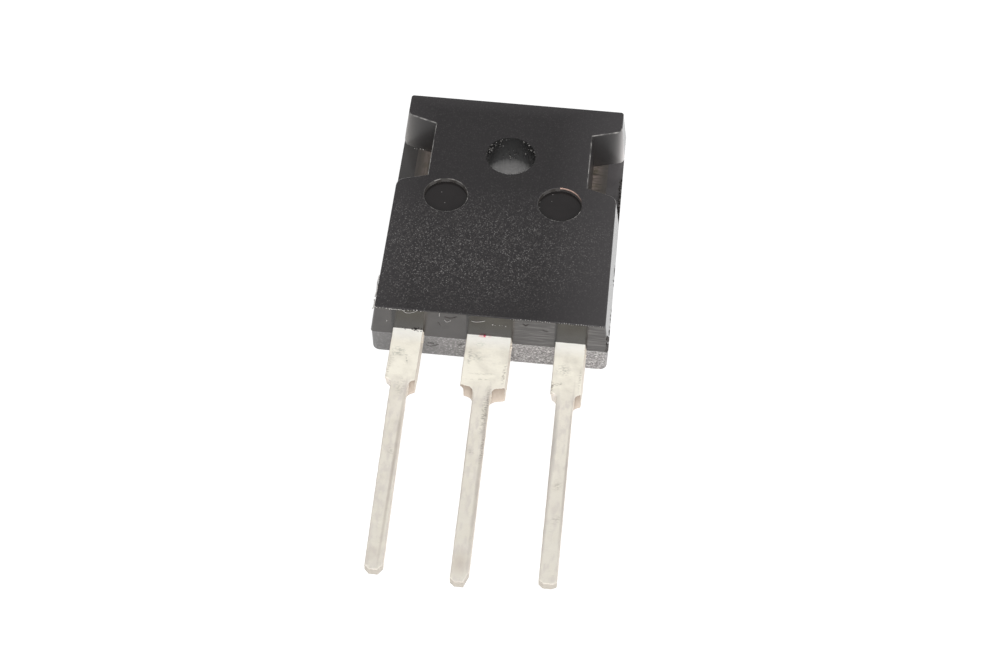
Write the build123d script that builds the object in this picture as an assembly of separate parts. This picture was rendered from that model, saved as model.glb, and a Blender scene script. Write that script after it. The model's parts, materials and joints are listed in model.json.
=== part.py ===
from build123d import *
import os
from math import hypot, radians, tan

# A darlington power transistor in a flat moulded package with three leads and one
# mounting hole. Lengths are millimetres and angles are degrees.
#
# The origin is where the axis of the mounting hole meets the back, the face that is
# bolted to a heat sink. Seen from the front with the leads down, +X points right, +Y up
# to the plain end of the body and +Z out of the front. The pins are, from left to right,
# base, collector and emitter. The collector lead is one piece with the thick copper slug.

# Moulded body, sized at the parting line between the front and back mould halves, with
# the thin flash that stands out there
body_width = 16.0
body_length = 20.0
body_height = 4.95
end_to_hole = 5.45              # plain end of the body to the axis of the hole
front_corner_radius = 0.2
back_corner_radius = 0.5
front_edge_radius = 0.1

# Draft of the mould, away from the parting line
front_side_draft = 7.3
front_plain_end_draft = 5.6
front_lead_end_draft = 0.3
back_side_draft = 0.2
back_plain_end_draft = 5.0
back_lead_end_draft = 6.5

# Mounting hole and the two ejector marks on the front
hole_diameter = 3.5
ejector_mark_diameter = 3.0
ejector_mark_depth = 0.3
ejector_mark_spacing = 7.92
ejector_mark_shift = -0.15      # the pair sits this far off the middle
ejector_mark_below_hole = 4.15

# Side notches, where the mould pins hold the slug down
notch_inner_gap = 11.16         # between the two notches, at the front face
notch_inner_length = 5.0
notch_above_hole = 0.1          # middle of the notch
notch_flare = 17.5              # each end wall opens towards the side of the body
notch_draft = 6.0
notch_upper_corner_radius = 0.5
notch_lower_corner_radius = 0.7

# Copper slug
slug_width = 13.8
slug_length = 16.6
slug_thickness = 2.0
slug_below_end = 1.2            # plain end of the body to the end of the slug
slug_corner = 0.8
slug_hole_diameter = 5.8
lock_lip = 0.3                  # the exposed face is this much smaller all round
lock_step = 0.7                 # height of the step that the epoxy grips

# Leads
lead_pitch = 5.45
lead_thickness = 0.6
lead_height = 2.3               # back of the body to the back of the leads
lead_width = 1.14
lead_edge_radius = 0.07         # front edges, rolled over by the stamping tool
outer_shoulder_width = 2.0
centre_shoulder_width = 2.96
shoulder_length = 4.15          # body to the sheared end of a shoulder
shoulder_corner_radius = 0.15
shoulder_slant = 0.2            # the end falls this much towards the thin lead
shoulder_burr = 0.12            # the right side flares out this much at the back
throat_radius = 0.4             # where the lead's thin part starts, if there is room
tip_cut_width = 0.28

# Each lead on its own: reach from the body, sideways bend at the tip, how far the tip's
# corners are cut back, and how far the stubs of the sheared tie bar reach at the back.
# Pairs are the lead's left and right.
base_reach = 18.75
base_bend = 0.25
base_tip_cuts = (0.3, 0.4)
base_stubs = (0.15, 0.8)
collector_reach = 19.08
collector_bend = 0.1
collector_tip_cuts = (0.25, 0.8)
collector_stubs = (0.6, 0.8)
emitter_reach = 18.62
emitter_bend = 0.05
emitter_tip_cuts = (0.25, 0.15)
emitter_stubs = (0.3, 0.75)

# Bond posts, at the inner ends of the base and emitter leads
post_width = 3.4
post_length = 1.5
post_setback = 0.45             # end of the body to the post
post_corner_radius = 0.3
post_lock_hole_diameter = 0.7
post_lock_hole_inset = 0.7      # lead side of the post to the middle of the hole

# Inner run of the collector lead, down to the slug
collector_run_in = 1.0          # level run inside the body
collector_bend_radius = 0.25

# Silicon die and the solder under it
die_size = 4.2
die_thickness = 0.3
die_below_hole = 7.4
solder_thickness = 0.06
solder_margin = 0.15

# Aluminium bond wires
base_wire_diameter = 0.25
emitter_wire_diameter = 0.5
wire_loop_height = 0.95         # above the face of the die
wire_foot_length = 0.7
wire_bend_radius = 0.4
wire_squash = 0.5               # share of the wire's radius left under its axis at a foot
wire_crest_share = 0.42         # where the loop is highest, along the span
wire_end_inset = 0.9            # lead side of the post to the end of the wire
base_pad_share = 0.3            # base pad, from the middle of the die towards its corner

# Heights and edges that follow from the sizes above
leads_end_y = end_to_hole - body_length
body_centre_y = end_to_hole - body_length / 2
parting_z = lead_height
front_height = body_height - parting_z
lead_top_z = lead_height + lead_thickness
slug_top_y = end_to_hole - slug_below_end
slug_end_y = slug_top_y - slug_length
post_back_y = leads_end_y + post_setback
die_top_z = slug_thickness + solder_thickness + die_thickness
level_limit = 0.1               # an edge climbs where the Z of its direction passes this


def rising(edges):
    """Those of the edges that climb, however gently."""
    return [edge for edge in edges if abs(edge.tangent_at(0.5).Z) > level_limit]


def mould_half(height, side_draft, plain_end_draft, lead_end_draft, corner_radius):
    """Block that rises from the parting plane and narrows on every side by its draft."""
    block = Pos(0, body_centre_y) * Box(
        body_width, body_length, height, align=(Align.CENTER, Align.CENTER, Align.MIN))
    for axis, position, angle in (
        (Axis.X, 0, side_draft),
        (Axis.X, -1, side_draft),
        (Axis.Y, 0, lead_end_draft),
        (Axis.Y, -1, plain_end_draft),
    ):
        block = draft(block.faces().sort_by(axis)[position], Plane.XY, angle)
    return fillet(rising(block.edges()), corner_radius)


def notch_cutter():
    """Drafted mould pin that leaves the right notch, from the front down to the slug."""
    inner_x = notch_inner_gap / 2
    outer_x = body_width
    half_inner = notch_inner_length / 2
    half_outer = half_inner + (outer_x - inner_x) * tan(radians(notch_flare))
    outline = Polygon(
        (inner_x, notch_above_hole + half_inner),
        (inner_x, notch_above_hole - half_inner),
        (outer_x, notch_above_hole - half_outer),
        (outer_x, notch_above_hole + half_outer),
        align=None,
    )
    pin = extrude(Pos(0, 0, slug_thickness) * outline, amount=body_height - slug_thickness)
    walls = pin.faces().sort_by(Axis.Z)[1:-1]
    return draft(walls, -Plane.XY.offset(body_height), notch_draft)


def notch_corners(block):
    """Rising edges where the end walls of the notches meet the sides, upper and lower."""
    corners = [
        edge for edge in rising(block.edges())
        if abs(edge.center().X) > (notch_inner_gap + body_width) / 4
        and abs(edge.center().Y - notch_above_hole) < notch_inner_length
    ]
    upper = [edge for edge in corners if edge.center().Y > notch_above_hole]
    lower = [edge for edge in corners if edge.center().Y < notch_above_hole]
    return upper, lower


def front_half():
    """Front of the body, notched at both sides and rounded."""
    block = Pos(0, 0, parting_z) * mould_half(
        front_height, front_side_draft, front_plain_end_draft, front_lead_end_draft,
        front_corner_radius)
    right_notch = notch_cutter()
    block -= right_notch
    block -= mirror(right_notch, about=Plane.YZ)
    block = fillet(notch_corners(block)[0], notch_upper_corner_radius)
    block = fillet(notch_corners(block)[1], notch_lower_corner_radius)
    front_face = block.faces().sort_by(Axis.Z)[-1]
    return fillet(front_face.outer_wire().edges(), front_edge_radius)


def moulded_block():
    """Whole body before the metal is let into it, with its hole and ejector marks."""
    front = front_half()
    back = mould_half(parting_z, back_side_draft, back_plain_end_draft,
                      back_lead_end_draft, back_corner_radius)
    back = Pos(0, 0, parting_z) * mirror(back, about=Plane.XY)
    split_face = front.faces().sort_by(Axis.Z)[0]
    back_split_face = back.faces().sort_by(Axis.Z)[-1]
    notch_depth = parting_z - slug_thickness
    back -= extrude(back_split_face - split_face, amount=notch_depth, dir=(0, 0, -1))

    block = front + back
    block -= extrude(Circle(hole_diameter / 2), amount=body_height)
    for side in (-1, 1):
        mark_x = ejector_mark_shift + side * ejector_mark_spacing / 2
        mark_place = Pos(mark_x, -ejector_mark_below_hole, body_height)
        block -= extrude(mark_place * Circle(ejector_mark_diameter / 2),
                         amount=-ejector_mark_depth)
    return block


def thin_lead(straight, reach, bend, tip_cuts):
    """Thin part of a lead: straight from the end of the body, then bent on to its tip."""
    half_lead = lead_width / 2
    half_tip = half_lead - tip_cut_width
    tip_y = leads_end_y - reach
    outline = Polygon(
        (-half_lead, leads_end_y),
        (-half_lead, leads_end_y - straight),
        (bend - half_lead, tip_y + tip_cuts[0]),
        (bend - half_tip, tip_y),
        (bend + half_tip, tip_y),
        (bend + half_lead, tip_y + tip_cuts[1]),
        (half_lead, leads_end_y - straight),
        (half_lead, leads_end_y),
        align=None,
    )
    return extrude(Pos(0, 0, lead_height) * outline, amount=lead_thickness)


def shoulder(width, length):
    """Wide part of a lead before it is sheared, its right side flared at the back."""
    section = Plane.XZ * Polygon(
        (-width / 2, lead_height),
        (width / 2 + shoulder_burr, lead_height),
        (width / 2, lead_top_z),
        (-width / 2, lead_top_z),
        align=None,
    )
    return extrude(Pos(0, leads_end_y, 0) * section, amount=length, dir=(0, -1, 0))


def shear_punch(side, width, stub):
    """Punch that parts the tie bar beside the thin lead, its cut sloping out to the back."""
    half_lead = lead_width / 2
    end_y = leads_end_y - shoulder_length - shoulder_slant
    far_y = end_y - shoulder_length
    face = Plane.YZ.offset(side * half_lead) * Polygon(
        (end_y, lead_top_z),
        (end_y - stub, lead_height),
        (far_y, lead_height),
        (far_y, lead_top_z),
        align=None,
    )
    across = Vector(side * (width / 2 - half_lead), shoulder_slant, 0)
    return extrude(face, amount=2 * across.length, dir=across)


def stamped_lead(width, reach, bend, tip_cuts, stubs):
    """Lead from the end of the body to its tip, on its own centre line."""
    shoulder_end = shoulder_length + shoulder_slant + max(stubs)
    lead = shoulder(width, shoulder_end)
    for side, stub in zip((-1, 1), stubs):
        lead -= shear_punch(side, width, stub)
    lead += thin_lead(shoulder_end + throat_radius, reach, bend, tip_cuts)

    sheared = [edge for edge in rising(lead.edges())
               if shoulder_length / 2 < leads_end_y - edge.center().Y < shoulder_end]
    corners = [edge for edge in sheared if abs(edge.center().X) > (width + lead_width) / 4]
    throats = [edge for edge in sheared if edge not in corners]
    sheared_length = hypot((width - lead_width) / 2, shoulder_slant)
    throat_limit = sheared_length - shoulder_corner_radius
    lead = fillet(corners, shoulder_corner_radius)
    lead = fillet(throats, min(throat_radius, throat_limit))
    front_edges = lead.faces().sort_by(Axis.Z)[-1].edges()
    root_edge = front_edges.sort_by(Axis.Y)[-1]
    return fillet([edge for edge in front_edges if edge != root_edge], lead_edge_radius)


def bond_post():
    """Neck and post inside the body, on the lead's own centre line."""
    neck = Pos(0, leads_end_y) * Rectangle(
        outer_shoulder_width, post_setback + post_corner_radius, align=(Align.CENTER, Align.MIN))
    post = Pos(0, post_back_y + post_length / 2) * RectangleRounded(
        post_width, post_length, post_corner_radius)
    lock_hole = Pos(0, post_back_y + post_lock_hole_inset) * Circle(
        post_lock_hole_diameter / 2)
    return extrude(Pos(0, 0, lead_height) * (neck + post - lock_hole), amount=lead_thickness)


def outer_lead(side, reach, bend, tip_cuts, stubs):
    """Base or emitter lead: the post in the body and the lead outside it are one piece."""
    lead = stamped_lead(outer_shoulder_width, reach, bend, tip_cuts, stubs) + bond_post()
    return Pos(side * lead_pitch, 0, 0) * lead


def slug_outline(inset):
    """Plan of the slug, drawn in by inset at its edges and round its hole."""
    blank = Rectangle(slug_width - 2 * inset, slug_length - 2 * inset)
    blank = chamfer(blank.vertices().group_by(Axis.Y)[-1], slug_corner)
    blank = Pos(0, slug_top_y - slug_length / 2) * blank
    return blank - Circle(slug_hole_diameter / 2 + inset)


def collector_leadframe():
    """Copper slug, the run that climbs from it and the centre lead, in one piece."""
    slug = extrude(slug_outline(0), amount=slug_thickness)
    slug -= extrude(slug_outline(0) - slug_outline(lock_lip), amount=lock_step)

    level_y = leads_end_y + collector_run_in
    profile = Polyline(
        (leads_end_y, lead_top_z),
        (level_y, lead_top_z),
        (slug_end_y, slug_thickness),
        (slug_end_y + lead_thickness, slug_thickness),
        (slug_end_y + lead_thickness, slug_thickness - lead_thickness),
        (slug_end_y, slug_thickness - lead_thickness),
        (level_y, lead_height),
        (leads_end_y, lead_height),
        close=True,
    )
    profile = make_face(Plane.YZ * profile)
    bends = [profile.vertices().sort_by_distance((0, level_y, z))[0]
             for z in (lead_height, lead_top_z)]
    profile = fillet(bends, collector_bend_radius)
    run = extrude(profile, amount=centre_shoulder_width / 2, both=True)
    lead = stamped_lead(centre_shoulder_width, collector_reach, collector_bend,
                        collector_tip_cuts, collector_stubs)
    return slug + run + lead


def chip(size, thickness, seat_z):
    """Flat square plate at the die's place on the slug."""
    return Pos(0, -die_below_hole, seat_z) * Box(
        size, size, thickness, align=(Align.CENTER, Align.CENTER, Align.MIN))


def bond_wire(diameter, die_point, post_point):
    """Looped wire with a squashed foot on the die and another on the post.

    The path lies in the upright plane through both feet. Each foot reaches a little into
    what it is welded to, and is trimmed flush with it afterwards.
    """
    start = Vector(*die_point)
    run = Vector(*post_point) - start
    span = run.length
    upright = Plane(origin=start, x_dir=run, z_dir=run.cross(Vector(0, 0, 1)))
    axis_lift = wire_squash * diameter / 2
    die_z = die_top_z + axis_lift
    post_z = lead_top_z + axis_lift
    loop_z = die_top_z + wire_loop_height
    points = [
        (0, die_z),
        (wire_foot_length, die_z),
        (wire_crest_share * span, loop_z),
        (span - wire_foot_length, post_z),
        (span, post_z),
    ]
    path = upright * FilletPolyline(*points, radius=wire_bend_radius)
    return sweep(Plane(path @ 0, z_dir=path % 0) * Circle(diameter / 2), path=path)


base_lead = outer_lead(-1, base_reach, base_bend, base_tip_cuts, base_stubs)
emitter_lead = outer_lead(1, emitter_reach, emitter_bend, emitter_tip_cuts, emitter_stubs)
collector = collector_leadframe()
solder = chip(die_size + 2 * solder_margin, solder_thickness, slug_thickness)
die = chip(die_size, die_thickness, slug_thickness + solder_thickness)

base_wire = bond_wire(
    base_wire_diameter,
    (-die_size * base_pad_share, -die_below_hole - die_size * base_pad_share),
    (-lead_pitch, post_back_y + wire_end_inset),
) - die - base_lead
emitter_wire = bond_wire(
    emitter_wire_diameter,
    (0, -die_below_hole),
    (lead_pitch, post_back_y + wire_end_inset),
) - die - emitter_lead

body = moulded_block()
for inner in (collector, base_lead, emitter_lead, solder, die, base_wire, emitter_wire):
    body -= inner

nodes = {
    "epoxy_body": body,
    "collector_leadframe": collector,
    "base_lead": base_lead,
    "emitter_lead": emitter_lead,
    "die_attach_solder": solder,
    "darlington_die": die,
    "base_bond_wire": base_wire,
    "emitter_bond_wire": emitter_wire,
}
os.makedirs("parts", exist_ok=True)
for name, solid in nodes.items():
    solid.label = name
    export_step(solid, f"parts/{name}.step")
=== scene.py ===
import json
from math import atan2, cos, degrees, radians, sin

import bmesh
import bpy
from mathutils import Matrix, Vector, noise
from mathutils.bvhtree import BVHTree


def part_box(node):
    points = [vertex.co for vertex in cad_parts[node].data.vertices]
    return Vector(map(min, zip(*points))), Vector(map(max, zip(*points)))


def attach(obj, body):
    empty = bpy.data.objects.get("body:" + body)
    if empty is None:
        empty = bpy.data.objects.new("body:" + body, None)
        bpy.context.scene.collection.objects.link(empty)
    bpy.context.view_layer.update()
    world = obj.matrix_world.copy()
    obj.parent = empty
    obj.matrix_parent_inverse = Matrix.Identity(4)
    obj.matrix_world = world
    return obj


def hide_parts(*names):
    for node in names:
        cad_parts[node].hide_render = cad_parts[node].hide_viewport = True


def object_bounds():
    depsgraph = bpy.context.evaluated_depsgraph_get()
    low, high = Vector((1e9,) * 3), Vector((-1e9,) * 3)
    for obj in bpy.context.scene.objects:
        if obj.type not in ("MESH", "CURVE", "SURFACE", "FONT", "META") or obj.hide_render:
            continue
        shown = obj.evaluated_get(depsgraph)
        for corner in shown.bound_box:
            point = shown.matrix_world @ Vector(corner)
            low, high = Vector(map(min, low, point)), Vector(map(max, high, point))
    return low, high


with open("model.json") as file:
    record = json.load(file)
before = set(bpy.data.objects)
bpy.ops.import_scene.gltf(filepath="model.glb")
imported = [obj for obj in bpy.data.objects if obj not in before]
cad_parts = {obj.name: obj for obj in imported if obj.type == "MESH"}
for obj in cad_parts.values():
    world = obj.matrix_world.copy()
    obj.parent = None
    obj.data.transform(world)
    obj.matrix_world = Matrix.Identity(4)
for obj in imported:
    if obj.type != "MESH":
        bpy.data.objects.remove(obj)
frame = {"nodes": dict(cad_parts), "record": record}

cad_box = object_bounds()

# The looks of a moulded power transistor with three tinned leads. It lies on its back: +X is
# right, +Y is the plain end and +Z is the front. Shapes are worked out in millimetres and
# turned to metres at the end.
MM = 0.001
body_low, body_high = (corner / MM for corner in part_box("epoxy_body"))
lead_low, lead_high = (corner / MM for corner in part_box("base_lead"))
slug_face_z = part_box("die_attach_solder")[0].z / MM
parting_z = lead_low.z
lead_top_z = lead_high.z
front_z = body_high.z
end_y = body_low.y
side_x = body_high.x
hole = next(m for m in frame["record"]["mounts"] if m["name"] == "mounting_hole")
hole_radius = hole["dims"]["r_mm"]

# Sizes of the part that its boxes and mounts don't give
lead_pitch = 5.45
lead_centre_x = {"base_lead": -lead_pitch, "collector_leadframe": 0, "emitter_lead": lead_pitch}
mark_radius = 1.5               # the two ejector marks
left_mark = Vector((-4.11, -4.15))
right_mark = Vector((3.81, -4.15))
notch_inner_x = 5.58            # inner wall of a side notch
notch_half_length = 3.6
slug_edge_x = 6.9

NOISE, CELLS, RANGE = "ShaderNodeTexNoise", "ShaderNodeTexVoronoi", "ShaderNodeMapRange"
MATH, MIX, MAPPING = "ShaderNodeMath", "ShaderNodeMix", "ShaderNodeMapping"
SPLIT, VECTORS = "ShaderNodeSeparateXYZ", "ShaderNodeVectorMath"
COLOURS = {"data_type": "RGBA"}


# ---------------------------------------------------------------- helpers

def linear(hex_colour):
    """An sRGB hex colour as linear RGBA."""
    channels = [int(hex_colour[i:i + 2], 16) / 255 for i in (1, 3, 5)]
    straight = [c / 12.92 if c <= 0.04045 else ((c + 0.055) / 1.055) ** 2.4 for c in channels]
    return (*straight, 1.0)


def add(tree, kind, inputs=None, **settings):
    """Adds a node. An input is a value, a hex colour, or the node or socket it comes from."""
    new = tree.nodes.new(kind)
    for name, value in settings.items():
        setattr(new, name, value)
    for name, value in (inputs or {}).items():
        socket = new.inputs[name] if isinstance(name, int) else next(
            socket for socket in new.inputs if socket.enabled and socket.name == name)
        if isinstance(value, str):
            value = linear(value)
        if isinstance(value, bpy.types.Node):
            value = next(output for output in value.outputs if output.enabled)
        if isinstance(value, bpy.types.NodeSocket):
            tree.links.new(value, socket)
        else:
            socket.default_value = value
    return new


def blank(name):
    """An empty node material, and its Object coordinates in millimetres."""
    material = bpy.data.materials.new(name)
    material.use_nodes = True
    tree = material.node_tree
    tree.nodes.clear()
    place = add(tree, "ShaderNodeTexCoord").outputs["Object"]
    return material, tree, add(tree, MAPPING, {"Vector": place, "Scale": (1 / MM,) * 3})


def surface(tree, inputs, bump=None, depth=0.0):
    """The material's finish, with an optional bump whose height is depth millimetres."""
    if bump is not None:
        inputs["Normal"] = add(tree, "ShaderNodeBump", {"Height": bump, "Distance": depth * MM})
    add(tree, "ShaderNodeOutputMaterial",
        {"Surface": add(tree, "ShaderNodeBsdfPrincipled", inputs)})


def glints(tree, place, spacing, share, size):
    """1 on painted glints of filler grains: a share of the cells of that spacing holds one."""
    cells = add(tree, CELLS, {"Vector": place, "Scale": 1 / spacing})
    picked = add(tree, MATH, {0: cells.outputs["Color"], 1: share}, operation="LESS_THAN")
    near = add(tree, MATH, {0: cells.outputs["Distance"], 1: size}, operation="LESS_THAN")
    return add(tree, MATH, {0: near, 1: picked}, operation="MULTIPLY")


def smear(tree, place, centre, reach, turn, strength, broken=True):
    """Share of an oval smear seen from the front, broken up by the grit that made it.

    Its centre and half axes are in millimetres, and its turn is in degrees.
    """
    oval = add(tree, MAPPING, {"Vector": place, "Location": (*centre, 0),
                               "Rotation": (0, 0, radians(turn)), "Scale": (*reach, 1000)},
               vector_type="TEXTURE")
    off = add(tree, VECTORS, {0: oval}, operation="LENGTH")
    inside = add(tree, RANGE, {"Value": off, "From Min": 1.0, "From Max": 0.3,
                               "To Max": strength})
    if not broken:
        return inside
    strokes = add(tree, MAPPING, {"Vector": place, "Rotation": (0, 0, radians(-turn)),
                                  "Scale": (0.45, 1, 1)})
    grit = add(tree, NOISE, {"Vector": strokes, "Scale": 1 / 0.09, "Detail": 3.0})
    torn = add(tree, RANGE, {"Value": grit, "From Min": 0.45, "From Max": 0.6})
    return add(tree, MATH, {0: inside, 1: torn}, operation="MULTIPLY")


# ---------------------------------------------------------------- materials

def spark_eroded_epoxy():
    """Black moulding epoxy off a spark-eroded mould: matt, with fine pale grains of filler.

    The grains are about 0.02 mm, and are drawn at 0.06 mm so that they show, with a few
    brighter ones at 0.09 mm that are painted glints. They cluster most thickly left of the
    middle, and the face is paler towards its right, left and top edges.
    """
    material, tree, place = blank("spark_eroded_epoxy")
    split = add(tree, SPLIT, {"Vector": place}).outputs
    dense = smear(tree, place, (-2.9, -9.2), (13.0, 6.2), 8, 0.75, broken=False)
    patches = add(tree, NOISE, {"Vector": place, "Scale": 1 / 0.8, "Detail": 6.0,
                                "Roughness": 0.75})
    patches = add(tree, RANGE, {"Value": patches, "From Min": 0.35, "From Max": 0.65,
                                "To Min": 0.35, "To Max": 1.4})
    dense = add(tree, MATH, {0: dense, 1: patches, 2: 0.12}, operation="MULTIPLY_ADD")
    right = add(tree, RANGE, {"Value": split["X"], "From Min": 3.0, "From Max": 7.6})
    left = add(tree, RANGE, {"Value": split["X"], "From Min": -5.5, "From Max": -8.6,
                             "To Max": 0.6})
    top = add(tree, RANGE, {"Value": split["Y"], "From Min": 3.9, "From Max": 5.6,
                            "To Max": 0.8})
    edge = add(tree, MATH, {0: right, 1: left}, operation="MAXIMUM")
    edge = add(tree, MATH, {0: edge, 1: top}, operation="MAXIMUM")
    colour = add(tree, MIX, {"Factor": edge, "A": "#272526", "B": "#3b393a"}, **COLOURS)
    grain = add(tree, CELLS, {"Vector": place, "Scale": 1 / 0.06}).outputs["Color"]
    pale = add(tree, RANGE, {"Value": grain, "From Min": 0.6, "From Max": 0.9})
    pale = add(tree, MATH, {0: pale, 1: dense}, operation="MULTIPLY")
    colour = add(tree, MIX, {"Factor": pale, "A": colour, "B": "#555251"}, **COLOURS)
    # Painted glints: the brightest specks stand for light caught by grains of filler.
    bright = add(tree, MATH, {0: glints(tree, place, 0.09, 0.33, 0.4), 1: dense},
                 operation="MULTIPLY")
    colour = add(tree, MIX, {"Factor": bright, "A": colour, "B": "#716f6e"}, **COLOURS)
    surface(tree, {"Base Color": colour, "Roughness": 0.6, "Specular IOR Level": 0.3,
                   "IOR": 1.55}, grain, 0.001)
    return material


def satin_epoxy():
    """Black epoxy off the smooth walls of the mould: half glossy, with faint drag lines.

    Above each lead the wall carries a painted olive brown reflection of that lead, and to the
    right it is drawn pale. The lines are about 0.03 mm apart, and are drawn at 0.09 mm so that
    they show.
    """
    material, tree, place = blank("satin_epoxy")
    split = add(tree, SPLIT, {"Vector": place}).outputs
    at_end = add(tree, MATH, {0: split["Y"], 1: end_y + 0.5}, operation="LESS_THAN")
    above = add(tree, RANGE, {"Value": split["Z"], "From Min": parting_z,
                              "From Max": parting_z + 0.3})
    at_end = add(tree, MATH, {0: at_end, 1: above}, operation="MULTIPLY")
    cloud = add(tree, NOISE, {"Vector": place, "Scale": 1 / 0.9, "Detail": 3.0})
    colour = add(tree, MIX, {"Factor": cloud, "A": "#302d2b", "B": "#3f3c3a"}, **COLOURS)
    across = add(tree, MAPPING, {"Vector": place, "Scale": (0.06, 1, 1)})
    drag = add(tree, NOISE, {"Vector": across, "Scale": 1 / 0.09, "Detail": 4.0})
    right = add(tree, RANGE, {"Value": split["X"], "From Min": 0.5, "From Max": 3.0})
    drawn = add(tree, RANGE, {"Value": drag, "From Min": 0.45, "From Max": 0.8})
    drawn = add(tree, MATH, {0: drawn, 1: right}, operation="MULTIPLY")
    drawn = add(tree, MATH, {0: drawn, 1: at_end}, operation="MULTIPLY")
    colour = add(tree, MIX, {"Factor": drawn, "A": colour, "B": "#676462"}, **COLOURS)
    up = add(tree, SPLIT, {"Vector": add(tree, "ShaderNodeTexCoord").outputs["Normal"]})
    up = add(tree, RANGE, {"Value": up.outputs["Z"], "From Min": 0.9})
    floor = add(tree, MIX, {"Factor": right, "A": "#454342", "B": "#514e4f"}, **COLOURS)
    colour = add(tree, MIX, {"Factor": up, "A": colour, "B": floor}, **COLOURS)
    # Painted reflection: above each lead the end face is darkened olive brown, as if it mirrored
    # the lead.
    for centre, half in ((-lead_pitch, 1.05), (0, 1.5), (lead_pitch, 1.05)):
        off = add(tree, MATH, {0: split["X"], 1: centre}, operation="SUBTRACT")
        off = add(tree, MATH, {0: off}, operation="ABSOLUTE")
        stain_and_painted_light = add(tree, RANGE, {"Value": off, "From Min": half + 0.1, "From Max": half - 0.02,
                                  "To Max": 0.95})
        stain_and_painted_light = add(tree, MATH, {0: stain_and_painted_light, 1: at_end}, operation="MULTIPLY")
        colour = add(tree, MIX, {"Factor": stain_and_painted_light, "A": colour, "B": "#100d0c"}, **COLOURS)
    surface(tree, {"Base Color": colour, "Roughness": 0.18, "IOR": 1.65}, drag, 0.001)
    return material


def pin_drawn_epoxy():
    """Black epoxy off the side pins of the mould: glossy, with a painted pale reflection at the
    sides.
    """
    material, tree, place = blank("pin_drawn_epoxy")
    split = add(tree, SPLIT, {"Vector": place}).outputs
    upright = add(tree, MAPPING, {"Vector": place, "Scale": (1, 1, 0.15)})
    drag = add(tree, NOISE, {"Vector": upright, "Scale": 1 / 0.12, "Detail": 3.0})
    colour = "#272525"
    # Painted reflection: each notch wall turns pale towards its outer end, most strongly on the
    # right.
    for inner, sudden, pale in ((5.2, 9.0, "#e6e2e0"), (-5.2, 5.0, "#85827f")):
        outward = add(tree, RANGE, {"Value": split["X"], "From Min": inner,
                                    "From Max": 1.55 * inner})
        painted_reflection = add(tree, MATH, {0: outward, 1: sudden}, operation="POWER")
        colour = add(tree, MIX, {"Factor": painted_reflection, "A": colour, "B": pale}, **COLOURS)
    surface(tree, {"Base Color": colour, "Roughness": 0.3, "IOR": 1.5}, drag, 0.001)
    return material


def frosted_epoxy():
    """Black epoxy off the blasted back half of the mould: frosted grey and grainy, made paler
    by painted light.

    The blasted pits are about 0.05 mm, and are drawn at 0.11 mm so that they show. They are
    faint towards the left, where the painted light is also weaker.
    """
    material, tree, place = blank("frosted_epoxy")
    x = add(tree, SPLIT, {"Vector": place}).outputs["X"]
    # Painted light: the grey grows paler towards the right, where the pits are also stronger.
    coarser_and_lit = add(tree, RANGE, {"Value": x, "From Min": -6.5, "From Max": 2.0, "To Min": 0.15},
                  interpolation_type="SMOOTHSTEP")
    flat = add(tree, MAPPING, {"Vector": place, "Scale": (0.7, 1, 1)})
    pits = add(tree, NOISE, {"Vector": flat, "Scale": 1 / 0.11, "Detail": 3.0,
                             "Roughness": 0.7})
    colour = add(tree, MIX, {"Factor": coarser_and_lit, "A": "#646363", "B": "#868281"}, **COLOURS)
    pale = add(tree, RANGE, {"Value": pits, "From Min": 0.52, "From Max": 0.68})
    dark = add(tree, RANGE, {"Value": pits, "From Min": 0.46, "From Max": 0.32})
    pale = add(tree, MATH, {0: pale, 1: coarser_and_lit}, operation="MULTIPLY")
    dark = add(tree, MATH, {0: dark, 1: coarser_and_lit}, operation="MULTIPLY")
    colour = add(tree, MIX, {"Factor": dark, "A": colour, "B": "#353332"}, **COLOURS)
    colour = add(tree, MIX, {"Factor": pale, "A": colour, "B": "#e6e3e1"}, **COLOURS)
    surface(tree, {"Base Color": colour, "Roughness": 0.6, "IOR": 1.55}, pits, 0.015)
    return material


def polished_epoxy():
    """Black epoxy off a polished ejector pin: smooth and glossy, with a few painted glints on
    pale grains.
    """
    material, tree, place = blank("polished_epoxy")
    wave = add(tree, NOISE, {"Vector": place, "Scale": 1 / 0.8})
    colour = add(tree, MIX, {"Factor": wave, "A": "#1b1919", "B": "#242121"}, **COLOURS)
    # Painted glints on a few pale grains.
    bright = glints(tree, place, 0.16, 0.11, 0.24)
    colour = add(tree, MIX, {"Factor": bright, "A": colour, "B": "#6b6867"}, **COLOURS)
    surface(tree, {"Base Color": colour, "Roughness": 0.2, "IOR": 1.5}, wave, 0.004)
    return material


def core_pin_epoxy():
    """Black epoxy off the core pins of the hole: black in front, and scored at the back,
    where painted light makes it pale.
    """
    material, tree, place = blank("core_pin_epoxy")
    upright = add(tree, MAPPING, {"Vector": place, "Scale": (1, 1, 0.12)})
    score = add(tree, NOISE, {"Vector": upright, "Scale": 1 / 0.15, "Detail": 3.0})
    z = add(tree, SPLIT, {"Vector": place}).outputs["Z"]
    # Painted light: towards the back the scored wall turns near white.
    back = add(tree, MATH, {0: score, 1: 0.5, 2: z}, operation="MULTIPLY_ADD")
    back = add(tree, RANGE, {"Value": back, "From Min": parting_z + 0.8, "From Max": 1.2})
    colour = add(tree, MIX, {"Factor": back, "A": "#0d0c0c", "B": "#fbf9f8"}, **COLOURS)
    surface(tree, {"Base Color": colour, "Roughness": 0.4, "IOR": 1.65}, score, 0.001)
    return material


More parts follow.
